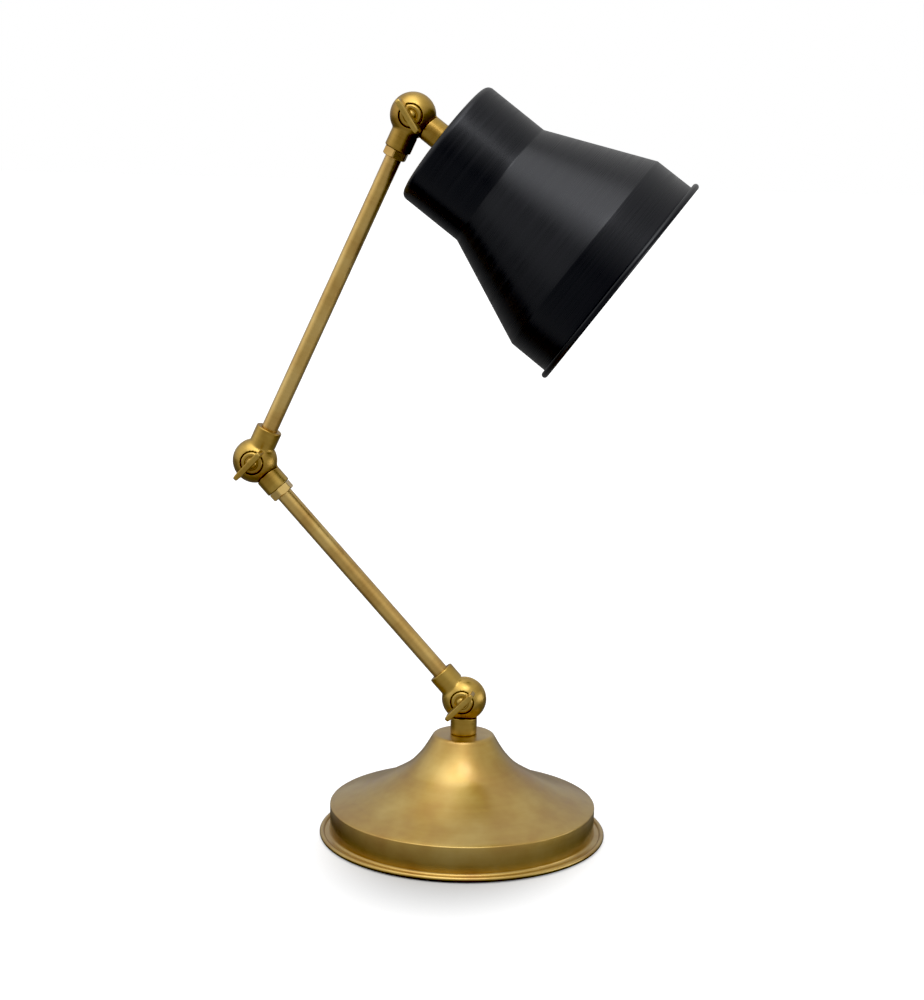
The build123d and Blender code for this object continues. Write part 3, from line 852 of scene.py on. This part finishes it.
@dataclass
class Knuckle:
    """A split friction ball: two cast halves, and the thumb screw that squeezes them."""

    layout: Layout
    joint: str
    place: Points
    far_body: str
    near_body: str
    far_way: Points
    near_way: Points
    key_angle: float
    disc_radius: float = 6.9
    disc_edge: float = 1.1
    disc_rise: float = 1.1
    step_radius: float = 4.3
    step_depth: float = 0.5
    button_radius: float = 3.4
    button_height: float = 2.4
    seat: float = 8.15
    key_length: float = 23.0
    key_root: float = 11.0
    key_thickness: float = 3.4
    key_reach: float = 22.6
    key_shoulder: float = 12.6
    key_root_height: float = 1.0
    key_corner: float = 1.8
    key_lip: float = 0.6
    key_squareness: float = 0.38
    shank_radius: float = 2.5
    shank_length: float = 10.8

    def build(self, brass: AntiqueBrass) -> None:
        """Makes and dresses both halves and the screw.

        Args:
            brass: the finish of all three.
        """
        near = ("near", self.near_body, self.near_way, -1.0)
        far = ("far", self.far_body, self.far_way, 1.0)
        for half, body, way, outward in (near, far):
            node = f"{self.joint}_knuckle_{half}"
            stem = Spindle(tuple(self.place), tuple(way))
            piece = softened(f"{self.joint}_ball_half_{half}", node, stem, outward)
            finish = brass.dress(f"antique_brass_{self.joint}_{half}", stem, Tooling.TURNED)
            settle(piece, body, node, finish)
        self.build_screw(brass)

    def disc_outline(self) -> Points:
        """The screw's turned outline: tip, shank, disc with its eased edge, step and round button.

        Returns:
            Rows of radius and place along the pivot, in millimetres.
        """
        edge_top = self.seat + self.disc_edge
        step_top = edge_top + self.disc_rise
        floor = step_top - self.step_depth
        corners = [
            (0.0, -self.shank_length),
            (self.shank_radius, -self.shank_length),
            (self.shank_radius, self.seat),
            (self.disc_radius, self.seat),
            (self.disc_radius, edge_top - 0.2),
            ((self.disc_radius + self.step_radius) / 2 + 0.4, step_top - 0.25),
            (self.step_radius, step_top),
            (self.step_radius - 0.1, floor),
            (self.button_radius, floor),
        ]
        disc = fillet_outline(corners, [0.5, 0.2, 0.2, 0.9, 1.6, 0.15, 0.12], 0.12)
        turn = np.linspace(0, math.pi / 2, 16)[:, None]
        button = (self.button_radius * np.cos(turn), floor + self.button_height * np.sin(turn))
        return np.vstack((disc, np.hstack(button)[1:]))

    def rounded(self, half: Points | float, radius: float, left: Points) -> Points:
        """A half width that shrinks along a quarter circle over the last radius of height."""
        short = np.clip(radius - left, 0, radius)
        return half - radius + np.sqrt(np.clip(radius**2 - short**2, 0, None))

    def key_surface(self) -> tuple[Points, Points]:
        """The flat key as rings of superellipses stacked outwards.

        A point of a ring is half the key's length times the cosine, and half its thickness times
        the sine, of its angle, each raised to the squareness with its sign kept. The half length
        eases from the root's to the full one, and both halves shrink along a quarter circle at the
        outer end, which rounds its edges.

        Returns:
            The points, in rows of length, thickness and height, and the faces.
        """
        rows, columns = 44, 96
        rise = np.linspace(0, 1, rows)[:, None]
        bottom = self.seat + self.disc_edge
        height = bottom + rise * (self.key_reach - bottom)
        root_end = bottom + self.key_root_height
        share = np.clip((height - root_end) / (self.key_shoulder - bottom), 0, 1)
        ease = share * share * (3 - 2 * share)
        half_length = self.key_root / 2 + ease * (self.key_length - self.key_root) / 2
        left = self.key_reach - height
        half_length = self.rounded(half_length, self.key_corner, left)
        half_thick = self.rounded(self.key_thickness / 2, self.key_lip, left)
        cosine, sine = np.cos(full_turn(columns)), np.sin(full_turn(columns))
        across = half_length * np.sign(cosine) * np.abs(cosine) ** self.key_squareness
        deep = half_thick * np.sign(sine) * np.abs(sine) ** self.key_squareness
        ring = np.stack(np.broadcast_arrays(across, deep, height), axis=-1)
        tip = np.array([[[0.0, 0.0, self.key_reach]]]) + np.zeros((1, columns, 1))
        root = np.array([[[0.0, 0.0, bottom]]]) + np.zeros((1, columns, 1))
        points = np.concatenate((root, ring, tip)).reshape(-1, 3)
        return points, grid_faces(rows + 2, columns, False)

    def build_screw(self, brass: AntiqueBrass) -> None:
        """Makes the disc and the key, which are one casting.

        Args:
            brass: the finish of both.
        """
        axis = self.layout.pivot(self.place)
        disc = turned(f"{self.joint}_thumb_disc", self.disc_outline(), axis, False, 128)
        points, faces = self.key_surface()
        turn = math.radians(self.key_angle)
        basis = axis.basis()
        key_way = np.array((math.cos(turn), 0.0, math.sin(turn)))
        deep_way = np.cross(basis[2], key_way)
        world = self.place + (points @ np.array((key_way, deep_way, basis[2]))) * MM
        key = make_piece(f"{self.joint}_thumb_key", world, faces)
        finish = brass.dress(f"antique_brass_{self.joint}_screw", axis, Tooling.TURNED)
        node = f"{self.joint}_thumb_screw"
        settle(disc, f"{self.joint}_thumb", node, finish)
        settle(key, f"{self.joint}_thumb", node, finish)


# ---- Arms -----------------------------------------------------------------------------------


@dataclass
class Arm:
    """A drawn tube with the hexagon nut that locks its upper end."""

    name: str
    spindle: Spindle
    length: float
    end_gap: float = 14.3
    radius: float = 5.0
    wall: float = 1.5
    stem: float = 22.0
    nut_flat: float = 6.8
    nut_height: float = 5.2
    nut_gap: float = 0.05
    nut_corner_cut: float = 0.25
    nut_face_inset: float = 0.35
    front_slope: float = 1.75  # of the chamfer, outwards for each step along
    back_slope: float = 8.0
    thread_gap: float = 0.02
    chord: float = 6.0

    def nut_surface(self) -> tuple[Points, Points]:
        """The nut as rings about the tube.

        A ring's radius at an angle is the flat's distance over the cosine of the angle from the
        middle of its side, or the chamfer cone's radius at that height where this is smaller,
        which leaves the curved edges of a chamfered hexagon. Two rings at the tube close it.

        Returns:
            The points, in rows of side, side and along, and the faces.
        """
        start = self.length - self.stem - self.nut_gap - self.nut_height
        corner = self.nut_flat / math.cos(math.pi / 6)
        columns = 240
        angle = full_turn(columns)
        side = (angle + np.pi / 6) % (np.pi / 3) - np.pi / 6
        hexagon = np.minimum(self.nut_flat / np.cos(side), corner - self.nut_corner_cut)
        end = self.nut_height
        front = np.linspace(0, 0.9, 10)  # rings lie close together where the chamfers cut
        side_rings = np.linspace(0.95, end - 0.5, 8)
        back = np.linspace(end - 0.45, end, 6)
        height = np.concatenate((front, side_rings, back))[:, None]
        chamfer = np.minimum(height * self.front_slope, (end - height) * self.back_slope)
        radius = np.minimum(hexagon, self.nut_flat - self.nut_face_inset + chamfer)
        bore = self.radius + self.thread_gap
        rings = (
            around(radius, angle, start + height),
            around(bore, angle, start + end),
            around(bore, angle, start),
        )
        return np.concatenate(rings), grid_faces(len(height) + 2, columns, True)

    def build(self, brass: AntiqueBrass) -> None:
        """Makes and dresses the tube and the nut.

        Args:
            brass: the finish of both.
        """
        start, end = self.end_gap, self.length - self.end_gap
        inner = self.radius - self.wall
        middle = (start + end) / 2
        corners = [(inner, middle), (inner, start), (self.radius, start)]
        corners += [(self.radius, end), (inner, end), (inner, middle)]
        outline = resample(fillet_outline(corners, [0.2, 0.3, 0.3, 0.2], 0.1), self.chord)
        tube = turned(f"{self.name}_drawn_tube", outline[:-1], self.spindle, True, 96)
        finish = brass.dress(f"antique_brass_{self.name}", self.spindle, Tooling.DRAWN)
        settle(tube, self.name, f"{self.name}_tube", finish)
        points, faces = self.nut_surface()
        nut = make_piece(f"{self.name}_hexagon_nut", self.spindle.place(points), faces, 20.0)
        settle(nut, self.name, f"{self.name}_lock_nut", finish)


# ---- Shade and holder -----------------------------------------------------------------------


@dataclass
class Shade:
    """The spun shade with its rolled lip."""

    layout: Layout
    seat: float = 23.5
    wall: float = 1.0
    back_edge: float = 4.0
    neck_radius: float = 40.9
    neck_length: float = 42.2
    flare_length: float = 63.4
    skirt_radius: float = 68.0
    skirt_length: float = 24.6
    lip_radius: float = 72.0
    lip_length: float = 3.8
    bead: float = 1.9
    flare_blend: float = 3.0
    skirt_blend: float = 1.2
    skirt_taper: float = 0.3
    chord: float = 5.0
    bore_radius: float = 5.04
    bead_turn: Corner = (-150.0, 172.0)

    def outline(self) -> Points:
        """The wall's closed outline: back, neck, flare, skirt and bead outside, then back inside.

        The inner side is the outer one moved in by the wall along its normal.

        Returns:
            Rows of radius and place along the shade's axis, in millimetres.
        """
        flare = self.seat + self.neck_length
        skirt = flare + self.flare_length
        lip = skirt + self.skirt_length
        rim = lip + self.lip_length
        bead_centre = np.array((self.lip_radius - self.bead, rim - self.bead))
        corners = [
            (self.bore_radius, self.seat),
            (self.neck_radius, self.seat),
            (self.neck_radius, flare),
            (self.skirt_radius, skirt),
            (self.skirt_radius + self.skirt_taper, lip + self.bead / 2),
        ]
        outer = fillet_outline(corners, [self.back_edge, self.flare_blend, self.skirt_blend])
        inner = beside(outer, -self.wall)
        turn = np.radians(np.linspace(*self.bead_turn, 36))[:, None]
        bead = bead_centre + self.bead * np.hstack((np.cos(turn), np.sin(turn)))
        return resample(np.vstack((outer, bead, inner[::-1], outer[:1])), self.chord)[:-1]

    def build(self) -> None:
        """Makes and dresses the shade."""
        spindle = self.layout.shade()
        shell = turned("shade_spun_shell", self.outline(), spindle, True, 288)
        finish = SatinEnamel().dress("satin_black_enamel", spindle)
        settle(shell, "head", "shade_shell", finish)


@dataclass
class Holder:
    """The bulb's screw-cap holder: a fluted phenolic body round a rolled screw shell."""

    layout: Layout
    flutes: int = 24
    flute_depth: float = 0.8
    flute_end: float = 1.8
    rim_height: float = 3.2
    rim_step: float = 2.5
    floor: float = 2.6
    slack: float = 0.04
    pitch: float = 3.63
    thread_depth: float = 0.25
    sheet: float = 0.25
    chord: float = 0.8

    def reach(self, node: str) -> tuple[float, float, float, float]:
        """Measures a node about the shade's axis.

        Args:
            node: the CAD node.

        Returns:
            Its least and greatest radius, and its start and end along the axis, in millimetres.
        """
        across, deep, along = local_points(frame["nodes"][node].data, self.layout.shade()).T
        radius = np.hypot(across, deep)
        return radius.min(), radius.max(), along.min(), along.max()

    def body_surface(self) -> tuple[Points, Points]:
        """The body as a turned outline with flutes for the fingers.

        A point's radius is the outline's, less the flute depth times half of one plus the cosine
        of the flutes' number times its angle. The depth fades to 0 at both ends of the side, and
        is 0 off the side.

        Returns:
            The points, in rows of side, side and along, and the faces.
        """
        passage, rim, start, end = self.reach("holder_body")
        bore = self.reach("holder_screw_shell")[1] + self.slack
        side = rim - self.rim_step
        step = end - self.rim_height
        corners = [(passage, start), (side, start), (side, step), (rim, step), (rim, end)]
        floor = start + self.floor
        corners += [(bore, end), (bore, floor), (passage, floor), (passage, start)]
        rounded = fillet_outline(corners, [0.6, 0.8, 0.8, 1.0, 0.5, 0.3, 0.2])
        outline = resample(rounded, self.chord)[:-1]
        radius, along = outline[:, :1], outline[:, 1:]
        angle = full_turn(288)
        low = np.clip((along - start - self.flute_end) / self.flute_end, 0, 1)
        high = np.clip((step - self.flute_end - along) / self.flute_end, 0, 1)
        depth = self.flute_depth * low * high * (np.abs(radius - side) < self.slack)
        fluted = radius - depth * (1 + np.cos(self.flutes * angle)) / 2
        return around(fluted, angle, along), grid_faces(len(outline), angle.size, True)

    def thread_surface(self) -> tuple[Points, Points]:
        """The screw shell as a thin sleeve with a rolled round thread.

        Both of its faces add half of the thread depth times one plus the cosine of a phase, which
        grows by a full turn for each pitch along the axis and falls by one round it.

        Returns:
            The points, in rows of side, side and along, and the faces.
        """
        inner, _, start, end = self.reach("holder_screw_shell")
        angle = full_turn(144)
        rise = np.linspace(start, end, 120)[:, None]
        along = np.concatenate((rise, rise[::-1]))
        face = np.concatenate((0 * rise + inner, 0 * rise + inner + self.sheet))
        wave = (1 + np.cos(2 * np.pi * along / self.pitch - angle)) / 2
        radius = face + self.thread_depth * wave
        return around(radius, angle, along), grid_faces(len(along), angle.size, True)

    def build(self, finishes: dict[str, bpy.types.Material]) -> None:
        """Makes and dresses both pieces.

        Args:
            finishes: materials by record slot.
        """
        spindle = self.layout.shade()
        points, faces = self.body_surface()
        body = make_piece("holder_fluted_body", spindle.place(points), faces)
        settle(body, "head", "holder_body", finishes["phenolic"])
        points, faces = self.thread_surface()
        shell = make_piece("holder_rolled_shell", spindle.place(points), faces, 60.0)
        settle(shell, "head", "holder_screw_shell", finishes["plated_brass"])


# ---- Everything else that the frame carries -------------------------------------------------


def dress_frame_nodes() -> dict[str, bpy.types.Material]:
    """Gives the finish of its record slot to each CAD node whose slot has a finish here.

    Returns:
        The finishes by slot.
    """
    finishes = {
        "cast_iron": CAST_IRON.dress(),
        "zinc_steel": ZINC_PLATE.dress(),
        "felt": WOOL_FELT.dress(),
        "fibre": FIBRE.dress(),
        "terminal_nylon": NYLON.dress(),
        "lead_insulation": PVC.dress(),
        "phenolic": PHENOLIC.dress(),
        "steatite": STEATITE.dress(),
        "plated_brass": NICKEL.dress(),
    }
    for part in frame["record"]["subparts"]:
        finish = finishes.get(part["material_slot"])
        if finish is None:
            continue
        node = frame["nodes"][part["node"]]
        node.data.materials.clear()
        node.data.materials.append(finish)
    return finishes


# ---- Studio ---------------------------------------------------------------------------------


@dataclass(frozen=True)
class Softbox:
    """A rectangular area light at a place, aimed at a point, with a radiance on its face."""

    name: str
    place: Place
    aim: Place
    size: Corner
    radiance: float

    def hang(self) -> None:
        """Makes the light; its watts are the radiance times pi times the face's area."""
        data = bpy.data.lights.new(self.name, "AREA")
        data.shape = "RECTANGLE"
        data.size, data.size_y = self.size
        data.energy = self.radiance * math.pi * self.size[0] * self.size[1]
        light = bpy.data.objects.new(self.name, data)
        bpy.context.scene.collection.objects.link(light)
        way = Vector(self.aim) - Vector(self.place)
        turn = way.to_track_quat("-Z", "Y").to_matrix().to_4x4()
        light.matrix_world = Matrix.Translation(self.place) @ turn


@dataclass
class Studio:
    """A white table, a grey room with broad soft lamps, two softboxes and the camera."""

    target: Place = (-0.00347, 0.0, 0.2111)
    azimuth: float = 8.19
    elevation: float = 11.35
    roll: float = 1.01
    distance: float = 1.435
    lens: float = 85.6
    sensor: float = 36.0
    black_point: float = 0.013
    softboxes: tuple[Softbox, ...] = (
        Softbox("key", (0.18, -0.76, 1.35), (0.0, 0.0, 0.2), (0.6, 0.45), 3.0),
        Softbox("card", (0.62, 0.0, 0.05), (0.1, 0.0, 0.36), (0.5, 0.5), 1.8),
    )
    # Soft lamps in the room: a direction, the angle it reaches to, and its strength
    lamps: tuple[tuple[Place, float, float], ...] = (
        ((0.62, -0.75, 0.26), 40.0, 0.4),
        ((-0.90, -0.42, 0.05), 42.0, 0.8),
        ((-0.94, 0.03, 0.33), 38.0, 0.7),
        ((-0.16, -0.34, 0.93), 40.0, 1.9),
    )
    # The room's grey from straight down to straight up, by share of the height
    room: tuple[tuple[float, str], ...] = (
        (0.0, "#595959"),
        (0.5, "#adadad"),
        (0.67, "#bfbfbf"),
        (0.82, "#dddddd"),
        (0.93, "#f6f6f6"),
    )
    room_strength: float = 0.97
    # What the camera sees of the table: its own glow fades to 0 about the foot, a painted shadow
    # over an oval narrower across than deep, where the cast shadow then shows too
    table_half: float = 6.0
    table_tone: str = "#bcbcbc"
    table_glow: float = 0.66
    painted_shadow_centre: Place = (0.0, -0.04, 0.0)
    painted_shadow_reach: Corner = (0.03, 0.16)
    painted_shadow_oval: Place = (1.35, 1.0, 1.0)
    # Painted light that the table gives the lamp: less at its back than in front, none under it
    # painted shadow: no bounce within this reach of the foot's axis
    painted_foot_shadow: Corner = (0.086, 0.125)
    painted_bounce_reach: Corner = (0.02, 0.13)
    painted_bounce: Corner = (0.16, 0.5)

    def camera(self) -> None:
        """Puts the camera on its sight line, turned about it by the roll."""
        a, e, r = (math.radians(v) for v in (self.azimuth, self.elevation, self.roll))
        forward = Vector((-math.sin(a) * math.cos(e), math.cos(a) * math.cos(e), -math.sin(e)))
        right = Vector((math.cos(a), math.sin(a), 0.0))
        up = right.cross(forward)
        rolled_right = right * math.cos(r) + up * math.sin(r)
        rolled_up = up * math.cos(r) - right * math.sin(r)
        data = bpy.data.cameras.new("camera")
        data.sensor_fit = "VERTICAL"
        data.sensor_height = self.sensor
        data.lens = self.lens
        camera = bpy.data.objects.new("camera", data)
        bpy.context.scene.collection.objects.link(camera)
        matrix = Matrix((rolled_right, rolled_up, -forward)).transposed().to_4x4()
        matrix.translation = Vector(self.target) - forward * self.distance
        camera.matrix_world = matrix
        bpy.context.scene.camera = camera

    def surround(self) -> None:
        """White where the camera looks past the table; the grey room and its lamps for the rest."""
        world = bpy.data.worlds.new("surround")
        world.use_nodes = True
        tree = world.node_tree
        tree.nodes.clear()
        path = add_node(tree, "LightPath")
        way = add_node(tree, "TexCoord").outputs["Generated"]
        rise = add_node(tree, "SeparateXYZ", {0: way}).outputs[2]
        share = add_node(tree, "MapRange", {0: rise, 1: -1.0, 2: 1.0}).outputs[0]
        tone = ramp(tree, share, self.room)
        strength = self.room_strength
        for lamp, reach, extra in self.lamps:
            pair = {0: way, 1: Vector(lamp).normalized()}
            facing = add_node(tree, "VectorMath", pair, operation="DOT_PRODUCT").outputs["Value"]
            rim = math.cos(math.radians(reach))
            lit = self.eased(tree, facing, (rim, 1.0), (0.0, extra))
            strength = add_node(tree, "Math", {0: lit, 1: strength}, operation="ADD").outputs[0]
        room = add_node(tree, "Background", {"Color": tone, "Strength": strength})
        white = add_node(tree, "Background", {"Color": (1.0, 1.0, 1.0, 1.0), "Strength": 1.0})
        links = {0: path.outputs["Is Camera Ray"], 1: room.outputs[0], 2: white.outputs[0]}
        both = add_node(tree, "MixShader", links)
        add_node(tree, "OutputWorld", {0: both.outputs[0]})
        bpy.context.scene.world = world

    def eased(
        self, tree: Tree, source: Socket, span: Corner, result: Corner = (0.0, 1.0)
    ) -> Socket:
        """Maps a value's span to a result with soft ends; returns the value output."""
        limits = {0: source, 1: span[0], 2: span[1], 3: result[0], 4: result[1]}
        return add_node(tree, "MapRange", limits, interpolation_type="SMOOTHSTEP").outputs[0]

    def seen_table(self, tree: Tree, place: Socket) -> Socket:
        """The table's matt top with its glow, which grows away from the foot: a painted shadow.

        Args:
            tree: the table's node tree.
            place: the point on the table.

        Returns:
            The shader that the camera sees.
        """
        matt = add_node(tree, "BsdfDiffuse", {"Color": linear(self.table_tone)}).outputs[0]
        offset = {0: place, 1: self.painted_shadow_centre}
        shifted = add_node(tree, "VectorMath", offset, operation="SUBTRACT").outputs[0]
        scale = {0: shifted, 1: self.painted_shadow_oval}
        oval = add_node(tree, "VectorMath", scale, operation="MULTIPLY").outputs[0]
        far = add_node(tree, "VectorMath", {0: oval}, operation="LENGTH").outputs["Value"]
        # painted shadow: the glow is 0 within the oval about the foot, and full beyond it
        strength = self.eased(tree, far, self.painted_shadow_reach, (0.0, self.table_glow))
        glow = add_node(tree, "Emission", {"Strength": strength}).outputs[0]
        return add_node(tree, "AddShader", {0: matt, 1: glow}).outputs[0]

    def painted_table_bounce(self, tree: Tree, place: Socket) -> Socket:
        """Painted light that the table gives back: none under the foot, and more towards the front.

        Args:
            tree: the table's node tree.
            place: the point on the table.

        Returns:
            The shader that every other ray meets.
        """
        away = add_node(tree, "VectorMath", {0: place}, operation="LENGTH").outputs["Value"]
        clear = self.eased(tree, away, self.painted_foot_shadow)
        behind = add_node(tree, "SeparateXYZ", {0: place}).outputs[1]
        ahead = add_node(tree, "Math", {0: behind, 1: -1.0}, operation="MULTIPLY").outputs[0]
        front = self.eased(tree, ahead, self.painted_bounce_reach, self.painted_bounce)
        strength = add_node(tree, "Math", {0: clear, 1: front}, operation="MULTIPLY").outputs[0]
        # painted light and painted shadow: an emission, not a reflection of the lamps
        return add_node(tree, "Emission", {"Strength": strength}).outputs[0]

    def table(self) -> None:
        """A pale matt table top, with a painted shadow about the foot and painted bounce light."""
        half = self.table_half
        mesh = bpy.data.meshes.new("table")
        corners = [(-half, -half, 0.0), (half, -half, 0.0), (half, half, 0.0), (-half, half, 0.0)]
        mesh.from_pydata(corners, [], [(0, 1, 2, 3)])
        table = bpy.data.objects.new("table", mesh)
        bpy.context.scene.collection.objects.link(table)
        material, tree, shader = blank("white_table")
        tree.nodes.remove(shader)
        path = add_node(tree, "LightPath").outputs["Is Camera Ray"]
        place = add_node(tree, "TexCoord").outputs["Object"]
        halves = {0: path, 1: self.painted_table_bounce(tree, place), 2: self.seen_table(tree, place)}
        both = add_node(tree, "MixShader", halves).outputs[0]
        tree.links.new(both, tree.nodes["Material Output"].inputs["Surface"])
        mesh.materials.append(material)
        table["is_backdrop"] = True

    def film(self) -> None:
        """A plain response with a firm black, as a catalogue print has."""
        view = bpy.context.scene.view_settings
        view.view_transform = "Standard"
        view.use_curve_mapping = True
        view.curve_mapping.black_level = [self.black_point] * 3
        view.curve_mapping.update()

    def build(self) -> None:
        """Makes the camera, the room, the table and the softboxes."""
        self.camera()
        self.surround()
        self.table()
        for softbox in self.softboxes:
            softbox.hang()
        self.film()


def main() -> None:
    """Builds the studio and the lamp in order."""
    logging.basicConfig(level=logging.INFO, format="%(name)s: %(message)s")
    layout = Layout()
    brass = AntiqueBrass()
    # The knuckles take a darker copy of the brass, glossier and with less lacquer; the arms a lighter one.
    darker_knuckle_brass = AntiqueBrass(dark="#94702f", roughness=0.34, coat=0.3)
    lighter_arm_brass = AntiqueBrass(light="#d8bb74", middle="#caa75c", dark="#b0863e", roughness=0.36)
    Studio().build()
    finishes = dress_frame_nodes()
    Base(layout).build(brass)
    lower_way = layout.elbow - layout.base
    upper_way = layout.head - layout.elbow
    down = np.array((0.0, 0.0, -1.0))
    knuckles = (
        ("base", layout.base, "base", "lower_arm", down, lower_way, 46.0),
        ("elbow", layout.elbow, "lower_arm", "upper_arm", -lower_way, upper_way, 47.0),
        ("head", layout.head, "head", "upper_arm", layout.shade_way, -upper_way, -57.0),
    )
    for sizes in knuckles:
        Knuckle(layout, *sizes).build(darker_knuckle_brass)
    arms = (("lower_arm", layout.base, lower_way), ("upper_arm", layout.elbow, upper_way))
    for name, start, way in arms:
        axis = Spindle(tuple(start), tuple(way))
        Arm(name, axis, np.linalg.norm(way) / MM).build(lighter_arm_brass)
    Shade(layout).build()
    Holder(layout).build(finishes)
    boxes = {"cad": cad_box, "visual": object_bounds()}
    boxes = {name: [list(corner) for corner in box] for name, box in boxes.items()}


if __name__ == "__main__":
    main()
